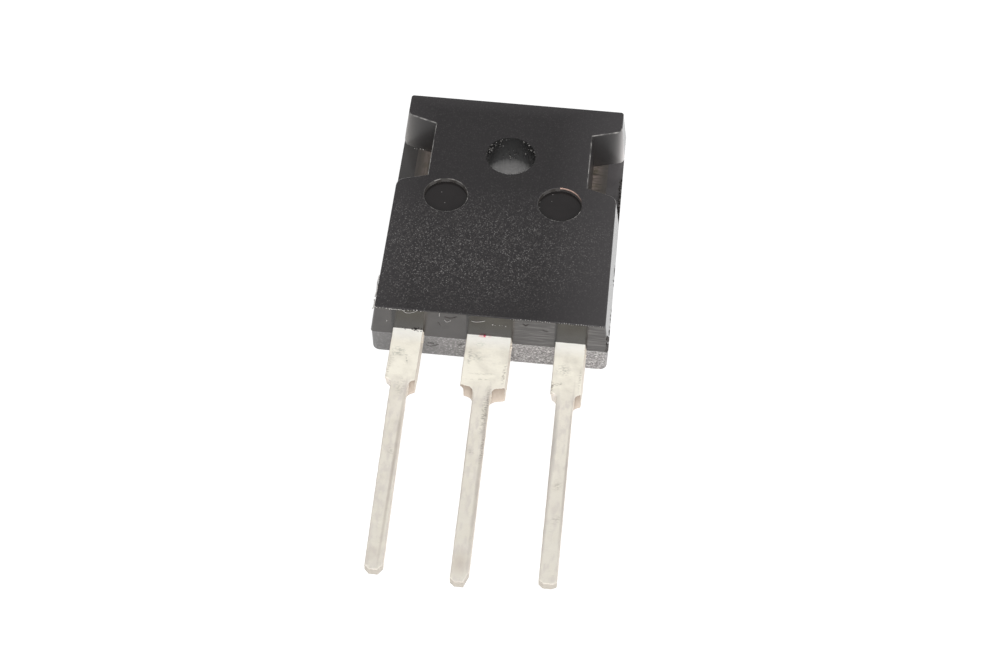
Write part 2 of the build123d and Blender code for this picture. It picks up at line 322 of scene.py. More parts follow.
def highlight_and_crumb_epoxy():
    """Epoxy with a patchy painted pale highlight, for rounded edges and mark rims; the pale
    crumbs in the bore use it too.
    """
    material, tree, place = blank("highlight_and_crumb_epoxy")
    patchy = add(tree, NOISE, {"Vector": place, "Scale": 1 / 0.5, "Detail": 3.0})
    share = add(tree, RANGE, {"Value": patchy, "From Min": 0.42, "From Max": 0.68})
    colour = add(tree, MIX, {"Factor": share, "A": "#383635", "B": "#93908d"}, **COLOURS)
    surface(tree, {"Base Color": colour, "Roughness": 0.35, "IOR": 1.6}, patchy, 0.002)
    return material


def pink_rim_highlight_epoxy():
    """Rim of an ejector mark with a painted pinkish highlight that fades away."""
    material, tree, place = blank("pink_rim_highlight_epoxy")
    patchy = add(tree, NOISE, {"Vector": place, "Scale": 1 / 0.25, "Detail": 3.0})
    z = add(tree, SPLIT, {"Vector": place}).outputs["Z"]
    height = add(tree, MATH, {0: patchy, 1: 0.12, 2: z}, operation="MULTIPLY_ADD")
    share = add(tree, RANGE, {"Value": height, "From Min": front_z - 0.04,
                              "From Max": front_z + 0.04})
    # Painted highlight: strongest at the upper right of the right mark.
    brightest = right_mark + Vector((0.3, 1.45))
    highlight_spread = smear(tree, place, brightest, (1.6, 1.6), 0, 0.9, broken=False)
    share = add(tree, MATH, {0: share, 1: highlight_spread}, operation="MULTIPLY")
    colour = add(tree, MIX, {"Factor": share, "A": "#302d2c", "B": "#b99a8d"}, **COLOURS)
    surface(tree, {"Base Color": colour, "Roughness": 0.5, "IOR": 1.5}, patchy, 0.002)
    return material


def broken_epoxy():
    """Torn flash and chips of epoxy: pale grey where the filler shows."""
    material, tree, place = blank("broken_epoxy")
    tear = add(tree, NOISE, {"Vector": place, "Scale": 1 / 0.08, "Detail": 3.0})
    colour = add(tree, MIX, {"Factor": tear, "A": "#716e6c", "B": "#cfccc9"}, **COLOURS)
    surface(tree, {"Base Color": colour, "Roughness": 0.6}, tear, 0.002)
    return material


def dark_flash():
    """Thin dark flash that squeezed out at the parting line."""
    material, tree, place = blank("dark_flash")
    tear = add(tree, NOISE, {"Vector": place, "Scale": 1 / 0.1, "Detail": 3.0})
    colour = add(tree, MIX, {"Factor": tear, "A": "#242120", "B": "#55514f"}, **COLOURS)
    surface(tree, {"Base Color": colour, "Roughness": 0.5}, tear, 0.002)
    return material


def matte_tin():
    """Matte tin plate on stamped copper: soft, ivory white, scuffed grey by handling."""
    material, tree, place = blank("matte_tin")
    y = add(tree, SPLIT, {"Vector": place}).outputs["Y"]
    cloud = add(tree, NOISE, {"Vector": place, "Scale": 1 / 1.1, "Detail": 4.0})
    thin = add(tree, RANGE, {"Value": y, "From Min": end_y - 3.8, "From Max": end_y - 4.8})
    low = add(tree, RANGE, {"Value": y, "From Min": end_y - 6.0, "From Max": end_y - 14.0})
    colour = add(tree, MIX, {"Factor": thin, "A": "#f5f0e2", "B": "#e6e0d4"}, **COLOURS)
    colour = add(tree, MIX, {"Factor": low, "A": colour, "B": "#dcd7cc"}, **COLOURS)
    cloud = add(tree, RANGE, {"Value": cloud, "From Min": 0.45, "From Max": 0.8})
    colour = add(tree, MIX, {"Factor": cloud, "A": colour, "B": "#dcd6c9"}, **COLOURS)
    lengthwise = add(tree, MAPPING, {"Vector": place, "Scale": (1, 0.45, 1)})
    mottle = add(tree, NOISE, {"Vector": lengthwise, "Scale": 1 / 0.35, "Detail": 4.0})
    mottle = add(tree, RANGE, {"Value": mottle, "From Min": 0.46, "From Max": 0.64,
                               "To Max": 0.45})
    mottle = add(tree, MATH, {0: mottle, 1: thin}, operation="MULTIPLY")
    colour = add(tree, MIX, {"Factor": mottle, "A": colour, "B": "#c9c1bc"}, **COLOURS)
    # The stamping tool rolled the edges over, and painted shade darkens their sloping faces.
    slope = add(tree, "ShaderNodeTexCoord").outputs["Normal"]
    level = add(tree, MATH, {0: add(tree, SPLIT, {"Vector": slope}).outputs["Z"]},
                operation="ABSOLUTE")
    rolled = add(tree, RANGE, {"Value": level, "From Min": 0.97, "From Max": 0.7, "To Max": 0.6})
    colour = add(tree, MIX, {"Factor": rolled, "A": colour, "B": "#b3aba8"}, **COLOURS)
    sideways = add(tree, MAPPING, {"Vector": place, "Scale": (0.25, 1.6, 1)})
    scratch = add(tree, NOISE, {"Vector": sideways, "Scale": 1 / 0.1, "Detail": 3.0})
    share = add(tree, RANGE, {"Value": scratch, "From Min": 0.64, "From Max": 0.8,
                              "To Max": 0.6})
    colour = add(tree, MIX, {"Factor": share, "A": colour, "B": "#b9b6a8"}, **COLOURS)
    root = add(tree, RANGE, {"Value": y, "From Min": end_y - 1.2, "From Max": end_y - 0.3,
                             "To Max": 0.8})
    colour = add(tree, MIX, {"Factor": root, "A": colour, "B": "#fffdf7"}, **COLOURS)
    for centre, reach, turn, strength, stain_and_painted_light in (
        ((-5.87, -16.45), (0.6, 0.5), 0, 0.45, "#8b8e82"),       # scuffs of the shoulders
        ((-6.2, -17.0), (0.25, 0.6), 0, 0.35, "#9b998c"),
        ((-0.55, -16.35), (0.6, 0.5), 0, 0.45, "#93958a"),
        ((-0.5, -15.3), (0.45, 0.25), 0, 0.35, "#a9b3a2"),
        ((5.15, -16.85), (0.6, 0.6), 0, 0.45, "#8f8d83"),
        ((-5.2, -17.15), (0.07, 0.4), 15, 0.7, "#8d8a7e"),       # scratches
        ((-5.5, -16.75), (0.7, 0.06), 4, 0.6, "#8d8a7e"),
        ((-1.1, -16.4), (0.2, 0.9), 0, 0.45, "#7a766c"),
        ((-0.2, -17.75), (1.2, 0.12), 4, 0.5, "#b0aa9a"),
        ((-0.2, -18.2), (1.2, 0.08), 4, 0.5, "#b0aa9a"),
        ((1.3, -17.6), (0.16, 1.2), -4, 0.6, "#8f8378"),         # dirt down an edge
        ((6.3, -17.4), (0.12, 1.2), -2, 0.4, "#9a9086"),
        ((-6.3, -17.9), (0.12, 0.8), -4, 0.5, "#9a9086"),
        ((4.5, -18.15), (0.16, 0.35), 0, 0.9, "#5d534a"),        # a nick and crease at a throat
        ((4.85, -18.05), (0.5, 0.11), 20, 1.0, "#776c62"),
        ((4.5, -18.6), (0.14, 0.4), 0, 0.7, "#7d7268"),
        ((-5.35, -19.3), (0.4, 0.9), 0, 0.4, "#a39f92"),
        ((0.38, -20.6), (0.3, 2.4), -2, 0.7, "#857f76"),
        ((0.5, -23.6), (0.16, 1.6), -2, 0.7, "#7d766e"),
        ((-5.3, -24.5), (0.25, 0.5), 20, 0.5, "#a8a196"),
        ((-0.2, -24.0), (0.3, 0.3), 0, 0.5, "#a8a196"),
        ((5.5, -26.0), (0.35, 0.5), -30, 0.5, "#a8a196"),
        ((5.6, -28.5), (0.3, 0.5), -30, 0.5, "#a8a196"),
        ((-0.3, -14.6), (0.5, 0.14), 0, 1.0, "#e2486a"),         # a touch of red marker
        ((-0.3, -14.62), (0.3, 0.08), 0, 1.0, "#e2486a"),
    ):
        stained = smear(tree, place, centre, reach, turn, strength)
        colour = add(tree, MIX, {"Factor": stained, "A": colour, "B": stain_and_painted_light}, **COLOURS)
    for centre, reach, turn, strength, stain_and_painted_light in (
        ((-4.98, -24.0), (0.16, 6.0), 0, 0.55, "#a89c92"),       # shade along the rolled edges
        ((-4.98, -29.5), (0.12, 5.0), 0, 0.35, "#a99d93"),
        ((0.5, -20.9), (0.25, 2.6), 0, 0.35, "#948c84"),
        ((0.52, -26.0), (0.2, 8.0), 0, 0.4, "#9a8f87"),
        ((4.95, -22.5), (0.3, 4.5), 0, 0.55, "#a29c99"),
        ((4.92, -28.0), (0.2, 6.0), 0, 0.45, "#a39a96"),
        ((5.98, -25.0), (0.14, 8.0), 0, 0.5, "#9f958f"),
        ((-6.0, -27.0), (0.14, 8.0), 0, 0.3, "#a9a29a"),
        ((-0.55, -26.0), (0.14, 7.5), 0, 0.45, "#a39a92"),
        ((-5.45, -32.2), (0.7, 0.8), 0, 0.25, "#b9aea4"),        # worn ends
        ((0.0, -32.2), (0.7, 1.2), 0, 0.4, "#b3a69b"),
    ):
        shade = smear(tree, place, centre, reach, turn, strength, broken=False)
        colour = add(tree, MIX, {"Factor": shade, "A": colour, "B": stain_and_painted_light}, **COLOURS)
    surface(tree, {"Base Color": colour, "Metallic": 0.3, "Roughness": 0.55}, scratch, 0.003)
    return material


def thin_tin():
    """Tin over the stamped sides of a lead, thin enough for the copper to warm it."""
    material, tree, place = blank("thin_tin")
    cloud = add(tree, NOISE, {"Vector": place, "Scale": 1 / 0.8, "Detail": 4.0})
    colour = add(tree, MIX, {"Factor": cloud, "A": "#c9beb0", "B": "#dfd8cd"}, **COLOURS)
    surface(tree, {"Base Color": colour, "Metallic": 0.3, "Roughness": 0.5}, cloud, 0.004)
    return material


def cut_tip():
    """Tip of a lead, cut after plating: grey, with tin dragged over the copper."""
    material, tree, place = blank("cut_tip")
    drag = add(tree, NOISE, {"Vector": place, "Scale": 1 / 0.2, "Detail": 4.0})
    colour = add(tree, MIX, {"Factor": drag, "A": "#aba49a", "B": "#c2bbb1"}, **COLOURS)
    surface(tree, {"Base Color": colour, "Metallic": 0.3, "Roughness": 0.6}, drag, 0.004)
    return material


def sheared_copper():
    """Copper where the tie bar was sheared off, smeared with tin: dull, pale beige towards the
    back, and browned near the top face by painted shade.
    """
    material, tree, place = blank("sheared_copper")
    z = add(tree, SPLIT, {"Vector": place}).outputs["Z"]
    tear = add(tree, NOISE, {"Vector": place, "Scale": 1 / 0.25, "Detail": 3.0})
    # Painted shade: darker brown just under the tinned top face.
    back = add(tree, MATH, {0: tear, 1: -0.3, 2: z}, operation="MULTIPLY_ADD")
    back = add(tree, RANGE, {"Value": back, "From Min": lead_top_z - 0.1,
                             "From Max": parting_z - 0.1})
    colour = add(tree, MIX, {"Factor": back, "A": "#84776a", "B": "#bcafa2"}, **COLOURS)
    surface(tree, {"Base Color": colour, "Metallic": 0.3, "Roughness": 0.6}, tear, 0.006)
    return material


def tarnished_copper():
    """Copper slug where the mould pins left it bare: brown with tarnish, and scraped.

    The pins scraped it along the body on the left and across it on the right. Towards the
    edge of the slug a film of epoxy covers the copper.
    """
    material, tree, place = blank("tarnished_copper")
    x = add(tree, SPLIT, {"Vector": place}).outputs["X"]
    on_left = add(tree, MATH, {0: x, 1: 0.0}, operation="LESS_THAN")
    along = add(tree, MAPPING, {"Vector": place, "Scale": (1, 0.12, 1)})
    across = add(tree, MAPPING, {"Vector": place, "Scale": (0.25, 1, 1)})
    scraped = add(tree, MIX, {"Factor": on_left, "A": across, "B": along}, data_type="VECTOR")
    brush = add(tree, NOISE, {"Vector": scraped, "Scale": 1 / 0.22, "Detail": 4.0})
    streak = add(tree, RANGE, {"Value": brush, "From Min": 0.36, "From Max": 0.64})
    blotch = add(tree, NOISE, {"Vector": place, "Scale": 1 / 0.7, "Detail": 4.0})
    olive = add(tree, RANGE, {"Value": blotch, "From Min": 0.48, "From Max": 0.62,
                              "To Max": 0.6})
    colour = add(tree, MIX, {"Factor": streak, "A": "#5f5852", "B": "#a5978f"}, **COLOURS)
    colour = add(tree, MIX, {"Factor": olive, "A": colour, "B": "#67624f"}, **COLOURS)
    bright = add(tree, MATH, {0: on_left, 1: 0.18}, operation="MULTIPLY")
    colour = add(tree, MIX, {"Factor": bright, "A": colour, "B": "#cabdb3"}, **COLOURS)
    reach = add(tree, MATH, {0: x}, operation="ABSOLUTE")
    reach = add(tree, MATH, {0: brush, 1: 0.9, 2: reach}, operation="MULTIPLY_ADD")
    film = add(tree, RANGE, {"Value": reach, "From Min": slug_edge_x - 0.4,
                             "From Max": slug_edge_x + 0.25, "To Max": 0.9})
    colour = add(tree, MIX, {"Factor": film, "A": colour, "B": "#615d5a"}, **COLOURS)
    surface(tree, {"Base Color": colour, "Metallic": 0.5, "Roughness": 0.5}, brush, 0.004)
    return material


def passivated_silicon():
    """Sawn and passivated silicon: dark, smooth blue-grey."""
    material, tree, place = blank("passivated_silicon")
    tint = add(tree, NOISE, {"Vector": place, "Scale": 1 / 0.8})
    colour = add(tree, MIX, {"Factor": tint, "A": "#3b3f4a", "B": "#4c5160"}, **COLOURS)
    surface(tree, {"Base Color": colour, "Roughness": 0.2, "IOR": 3.4})
    return material


def soft_solder():
    """Soft solder, melted and set: bright grey with a slight ripple."""
    material, tree, place = blank("soft_solder")
    ripple = add(tree, NOISE, {"Vector": place, "Scale": 1 / 0.5})
    colour = add(tree, MIX, {"Factor": ripple, "A": "#9d9c98", "B": "#b5b4b0"}, **COLOURS)
    surface(tree, {"Base Color": colour, "Metallic": 1.0, "Roughness": 0.35}, ripple, 0.004)
    return material


def drawn_aluminium():
    """Drawn aluminium bond wire: pale, with fine lines."""
    material, tree, place = blank("drawn_aluminium")
    lines = add(tree, NOISE, {"Vector": place, "Scale": 1 / 0.1})
    colour = add(tree, MIX, {"Factor": lines, "A": "#c4c4c2", "B": "#d8d8d6"}, **COLOURS)
    surface(tree, {"Base Color": colour, "Metallic": 1.0, "Roughness": 0.3}, lines, 0.001)
    return material


# ---------------------------------------------------------------- meshes

weld_gap = 0.0005               # corners of the CAD triangles this close are one point


def node_bmesh(name):
    """A CAD node as one merged mesh, in millimetres."""
    shape = bmesh.new()
    shape.from_mesh(frame["nodes"][name].data)
    bmesh.ops.scale(shape, vec=(1 / MM,) * 3, verts=shape.verts)
    bmesh.ops.remove_doubles(shape, verts=shape.verts, dist=weld_gap)
    return shape


def finished(shape, name, materials, node):
    """Turns a mesh in millimetres into a piece. It stands for a CAD node if one is named."""
    bmesh.ops.scale(shape, vec=(MM,) * 3, verts=shape.verts)
    mesh = bpy.data.meshes.new(name)
    shape.to_mesh(mesh)
    shape.free()
    for material in materials:
        mesh.materials.append(material)
    piece = bpy.data.objects.new(name, mesh)
    bpy.context.scene.collection.objects.link(piece)
    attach(piece, "root")
    if node:
        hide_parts(node)
    return piece


def smooth_by_angle(piece, limit, line_z=None):
    """Shades a piece smoothly up to an angle in degrees. A line at height line_z stays sharp.

    The largest face at each point sets its shading, so large faces stay flat.
    """
    for face in piece.data.polygons:
        face.use_smooth = True
    piece.data.set_sharp_from_angle(angle=radians(limit))
    if line_z is not None:
        heights = [vertex.co.z / MM for vertex in piece.data.vertices]
        for edge in piece.data.edges:
            if all(abs(heights[i] - line_z) < 0.01 for i in edge.vertices):
                edge.use_edge_sharp = True
    weighted = piece.modifiers.new("weighted", "WEIGHTED_NORMAL")
    weighted.keep_sharp = True
    weighted.weight = 100
    graph = bpy.context.evaluated_depsgraph_get()
    flat_mesh = bpy.data.meshes.new_from_object(piece.evaluated_get(graph))
    piece.modifiers.remove(weighted)
    rough_mesh, piece.data = piece.data, flat_mesh
    bpy.data.meshes.remove(rough_mesh)
    flat_mesh.name = piece.name


def evaluated(shape, modify):
    """The mesh after modifiers: modify adds them to a scratch object."""
    mesh = bpy.data.meshes.new("scratch")
    shape.to_mesh(mesh)
    shape.free()
    scratch = bpy.data.objects.new("scratch", mesh)
    bpy.context.scene.collection.objects.link(scratch)
    modify(scratch)
    graph = bpy.context.evaluated_depsgraph_get()
    result = bpy.data.meshes.new_from_object(scratch.evaluated_get(graph))
    bpy.data.objects.remove(scratch)
    bpy.data.meshes.remove(mesh)
    new_shape = bmesh.new()
    new_shape.from_mesh(result)
    bpy.data.meshes.remove(result)
    return new_shape


def keep_inside(shape, margin):
    """Moves stray points of a mesh in millimetres back inside the part's own box."""
    for vertex in shape.verts:
        vertex.co = Vector(min(max(at, low / MM + margin), high / MM - margin)
                           for at, low, high in zip(vertex.co, *cad_box))


# ---------------------------------------------------------------- moulded body

edge_bevel = 0.045
rim_bevel = 0.05                # round the ejector marks
facet_angle = 0.7               # triangles of one face differ by less, in degrees
edge_angle = 30                 # a sharper turn is an edge to soften
body_smooth_angle = 32
FRONT, SATIN, DRAWN, FROSTED, POLISHED, BORE, EDGE_HIGHLIGHT, PINK_RIM_HIGHLIGHT = range(8)


def inner_surfaces():
    """Search tree over everything that the epoxy touches."""
    points, faces = [], []
    for name, node in frame["nodes"].items():
        if name != "epoxy_body":
            first = len(points)
            points += [v.co / MM for v in node.data.vertices]
            faces += [[first + i for i in p.vertices] for p in node.data.polygons]
    return BVHTree.FromPolygons(points, faces)


def epoxy_finish(face):
    """Which finish a face of the body has, by where it is and which way it looks."""
    centre = face.calc_center_bounds()
    plan = centre.xy
    climb = abs(face.normal.z)
    at_notch = abs(centre.x) > notch_inner_x - 0.2 and abs(centre.y) < notch_half_length
    mark = left_mark if centre.x < 0 else right_mark
    off_mark = plan - mark
    turn = degrees(atan2(off_mark.y, off_mark.x))
    in_mark = off_mark.length < mark_radius + rim_bevel + 0.02 and centre.z > parting_z + 1
    if in_mark and climb < 0.95:
        # Painted pinkish highlight on the far rim of the right mark.
        if mark is right_mark and -15 < turn < 98:
            return PINK_RIM_HIGHLIGHT
        # Painted highlight on these parts of the marks' rims.
        lit_rim = -165 < turn < 130 if mark is left_mark else -130 < turn < 0
        return EDGE_HIGHLIGHT if lit_rim and climb > 0.1 else SATIN
    if in_mark and centre.z < front_z - 0.1:
        return POLISHED
    if centre.z > front_z - 0.12:
        # Painted highlight on the rounded edges of the notches.
        if at_notch and 0.15 < climb < 0.95:
            return EDGE_HIGHLIGHT
        if climb > 0.5:
            return FRONT
    if plan.length < hole_radius + 2 * edge_bevel and climb < 0.9:
        return BORE
    foot_z = min(vertex.co.z for vertex in face.verts)
    if at_notch and foot_z > slug_face_z - 0.02 and climb < 0.95:
        return DRAWN
    if centre.z < parting_z and climb < 0.3:
        return FROSTED
    return SATIN


def bevel(shape, edges, offset):
    """Softens edges of a mesh."""
    bmesh.ops.bevel(shape, geom=edges, offset=offset, segments=2, profile=0.5,
                    affect="EDGES", clamp_overlap=True)


def moulded_body():
    """The body with soft edges, a wider bevel round each ejector mark, and all its finishes.

    Faces that touch the pieces inside are left as they are.
    """
    shape = node_bmesh("epoxy_body")
    bmesh.ops.dissolve_limit(shape, angle_limit=radians(facet_angle), verts=shape.verts,
                             edges=shape.edges)
    touching = inner_surfaces()
    covered = {face for face in shape.faces
               if touching.find_nearest(face.calc_center_median(), 0.02)[0] is not None}

    def mark_rim(edge):
        return all(vertex.co.z > front_z - 0.01
                   and min((vertex.co.xy - left_mark).length,
                           (vertex.co.xy - right_mark).length) < mark_radius + 0.02
                   for vertex in edge.verts)

    sharp = [edge for edge in shape.edges
             if len(edge.link_faces) == 2 and not covered.intersection(edge.link_faces)
             and edge.calc_face_angle(0) > radians(edge_angle)]
    rims = [edge for edge in sharp if mark_rim(edge)]
    bevel(shape, [edge for edge in sharp if edge not in rims], edge_bevel)
    bevel(shape, [edge for edge in rims if edge.is_valid], rim_bevel)
    for face in shape.faces:
        face.material_index = epoxy_finish(face)
    piece = finished(shape, "moulded_body",
                     [spark_eroded_epoxy(), satin_epoxy(), pin_drawn_epoxy(), frosted_epoxy(),
                      polished_epoxy(), core_pin_epoxy(), highlight_and_crumb_epoxy(), pink_rim_highlight_epoxy()],
                     "epoxy_body")
    smooth_by_angle(piece, body_smooth_angle, parting_z)


# ---------------------------------------------------------------- leads

# Lengths along a lead are measured from the body.
lead_voxel = 0.045
shoulder_end = 3.9
stub_length = 1.7               # sheared end of a shoulder, with its slant
tip_start = 18.0
thin_half_width = 0.6           # half the thin part of a lead, with room to spare
root_length = 0.6               # how far into the body the collector lead is remeshed
stub_smoothing = 25             # passes
wear_depth, wear_size = 0.012, 0.5
TIN, EDGE, TIP, SHEARED, TARNISHED = range(5)


def lead_finish(face, node):
    """Which finish a face of a lead has: tin, thin tin on its sides, or cut metal."""
    centre = face.calc_center_median()
    below = end_y - centre.y
    aside = centre.x - lead_centre_x[node]
    if shoulder_end < below < shoulder_end + stub_length and face.normal.y < -0.35 and (
            aside > thin_half_width
            or aside < -thin_half_width and node == "collector_leadframe"):
        return SHEARED
    if below > tip_start and face.normal.y < -0.3:
        return TIP
    return EDGE if abs(face.normal.x) > 0.8 or face.normal.y < -0.8 else TIN


def worn(shape):
    """Pushes every point of a remeshed lead in and out a little, as handling leaves it."""
    shape.normal_update()
    for vertex in shape.verts:
        at = vertex.co / wear_size
        lift = noise.noise(at) + 0.5 * noise.noise(at * 3.1)
        vertex.co += vertex.normal * wear_depth * lift


def dressed_lead(node, name, finishes):
    """A lead with softened, slightly uneven faces and bare copper at its sheared ends.

    The collector's slug keeps its flat faces: only its lead is remeshed.
    """
    shape = node_bmesh(node)
    inner = None
    if node == "collector_leadframe":
        inner = shape.copy()
        cut_y = end_y + root_length
        for part, keep_inner in ((shape, False), (inner, True)):
            geometry = part.verts[:] + part.edges[:] + part.faces[:]
            bmesh.ops.bisect_plane(part, geom=geometry, plane_co=(0, cut_y, 0),
                                   plane_no=(0, 1, 0), clear_outer=not keep_inner,
                                   clear_inner=keep_inner, dist=0.0001)
            rim = [edge for edge in part.edges if edge.is_boundary]
            bmesh.ops.holes_fill(part, edges=rim)

    def remesh(scratch):
        modifier = scratch.modifiers.new("remesh", "REMESH")
        modifier.mode = "VOXEL"
        modifier.voxel_size = lead_voxel

    shape = evaluated(shape, remesh)
    torn = [vertex for vertex in shape.verts
            if shoulder_end < end_y - vertex.co.y < shoulder_end + stub_length
            and vertex.co.z < lead_top_z - 0.12]
    for vertex in torn:  # the left stub tapers away from the body
        past = min((end_y - vertex.co.y - shoulder_end) / 0.3, 1)
        aside = vertex.co.x - lead_centre_x[node]
        if aside < -0.7:
            vertex.co.x -= 0.3 * past * (aside + 0.7)
    for _ in range(stub_smoothing):
        bmesh.ops.smooth_vert(shape, verts=torn, factor=0.5, use_axis_x=True,
                              use_axis_y=True, use_axis_z=False)
    worn(shape)
    keep_inside(shape, 0.0)
    for face in shape.faces:
        face.smooth = True
        face.material_index = lead_finish(face, node)
    if inner:
        for face in inner.faces:
            if face.normal.z > 0.9 and abs(face.calc_center_median().z - slug_face_z) < 0.01:
                face.material_index = TARNISHED
        mesh = bpy.data.meshes.new("inner")
        inner.to_mesh(mesh)
        inner.free()
        shape.from_mesh(mesh)
        bpy.data.meshes.remove(mesh)
    return finished(shape, name, finishes, node)


# ---------------------------------------------------------------- flash, chips and burrs

def node_group(name, sockets):
    """An empty Geometry Nodes tree with those named inputs and one geometry output."""
    tree = bpy.data.node_groups.new(name, "GeometryNodeTree")
    for socket, kind in sockets.items():
        tree.interface.new_socket(socket, in_out="INPUT", socket_type=kind)
    tree.interface.new_socket("Geometry", in_out="OUTPUT", socket_type="NodeSocketGeometry")
    return tree, add(tree, "NodeGroupInput").outputs


def crumb_tree():
    """Jagged crumbs strewn along a path: spacing, size and spread are in millimetres."""
    tree, given = node_group("crumbs_along_path", {
        "Path": "NodeSocketGeometry", "Spacing": "NodeSocketFloat", "Size": "NodeSocketFloat",
        "Spread": "NodeSocketFloat", "Seed": "NodeSocketInt", "Finish": "NodeSocketMaterial"})
    curve = add(tree, "GeometryNodeMeshToCurve", {"Mesh": given["Path"]})
    points = add(tree, "GeometryNodeCurveToPoints",
                 {"Curve": curve, "Length": given["Spacing"]}, mode="LENGTH")
    drift = add(tree, "FunctionNodeRandomValue",
                {"Min": (-1, -1, -1), "Max": (1, 1, 1), "Seed": given["Seed"]},
                data_type="FLOAT_VECTOR")
    drift = add(tree, VECTORS, {"Vector": drift, "Scale": given["Spread"]},
                operation="SCALE")
    points = add(tree, "GeometryNodeSetPosition", {"Geometry": points, "Offset": drift})
    lump = add(tree, "GeometryNodeMeshIcoSphere", {"Radius": 1.0, "Subdivisions": 2})
    stretch = add(tree, "FunctionNodeRandomValue",
                  {"Min": (0.2, 0.2, 0.2), "Max": (1, 1, 1), "Seed": given["Seed"]},
                  data_type="FLOAT_VECTOR")
    stretch = add(tree, VECTORS, {"Vector": stretch, "Scale": given["Size"]},
                  operation="SCALE")
    turn = add(tree, "FunctionNodeRandomValue",
               {"Max": (6.28, 6.28, 6.28), "Seed": given["Seed"]}, data_type="FLOAT_VECTOR")
    lumps = add(tree, "GeometryNodeInstanceOnPoints",
                {"Points": points, "Instance": lump, "Rotation": turn, "Scale": stretch})
    lumps = add(tree, "GeometryNodeRealizeInstances", {"Geometry": lumps})
    rough = add(tree, NOISE, {"Scale": 9.0, "Detail": 2.0}).outputs["Color"]
    rough = add(tree, VECTORS, {0: rough, 1: (0.5, 0.5, 0.5)},
                operation="SUBTRACT")
    rough = add(tree, VECTORS, {"Vector": rough, "Scale": given["Size"]},
                operation="SCALE")
    lumps = add(tree, "GeometryNodeSetPosition", {"Geometry": lumps, "Offset": rough})
    lumps = add(tree, "GeometryNodeSetMaterial",
                {"Geometry": lumps, "Material": given["Finish"]})
    add(tree, "NodeGroupOutput", {"Geometry": lumps})
    return tree


def thread_tree():
    """Thin round threads that follow the paths smoothly: thickness is in millimetres."""
    tree, given = node_group("threads_along_path", {
        "Path": "NodeSocketGeometry", "Thickness": "NodeSocketFloat",
        "Finish": "NodeSocketMaterial"})
    curve = add(tree, "GeometryNodeMeshToCurve", {"Mesh": given["Path"]})
    curve = add(tree, "GeometryNodeCurveSplineType", {"Curve": curve},
                spline_type="CATMULL_ROM")
    curve = add(tree, "GeometryNodeResampleCurve", {"Curve": curve, "Length": 0.05},
                mode="LENGTH")
    half = add(tree, MATH, {0: given["Thickness"], 1: 0.5}, operation="MULTIPLY")
    section = add(tree, "GeometryNodeCurvePrimitiveCircle", {"Resolution": 6, "Radius": half})
    threads = add(tree, "GeometryNodeCurveToMesh",
                  {"Curve": curve, "Profile Curve": section, "Fill Caps": True})
    threads = add(tree, "GeometryNodeSetMaterial",
                  {"Geometry": threads, "Material": given["Finish"]})
    add(tree, "NodeGroupOutput", {"Geometry": threads})
    return tree


crumb_smooth_angle = 40


def along(name, tree, paths, material, slot, **sizes):
    """A piece that the tree makes along those paths, kept just inside the part's own box."""
    shape = bmesh.new()
    for path in paths:
        points = [shape.verts.new(point) for point in path]
        for first, second in zip(points, points[1:]):
            shape.edges.new((first, second))

    def grow(scratch):
        modifier = scratch.modifiers.new("grow", "NODES")
        modifier.node_group = tree
        identifiers = {item.name: item.identifier for item in tree.interface.items_tree
                       if item.in_out == "INPUT"}
        for socket, value in {**sizes, "Finish": material}.items():
            modifier[identifiers[socket]] = value

    shape = evaluated(shape, grow)
    keep_inside(shape, 0.004)  # a crumb flush with a face of the body would flicker
    bmesh.ops.recalc_face_normals(shape, faces=shape.faces)
    smooth_by_angle(finished(shape, name, [material], None), crumb_smooth_angle)


def bore_arc(start, end, z):
    """Points round the wall of the hole, from one angle to another, in degrees."""
    count = 12
    turns = [radians(start + (end - start) * i / count) for i in range(count + 1)]
    return [(hole_radius * cos(turn), hole_radius * sin(turn), z) for turn in turns]


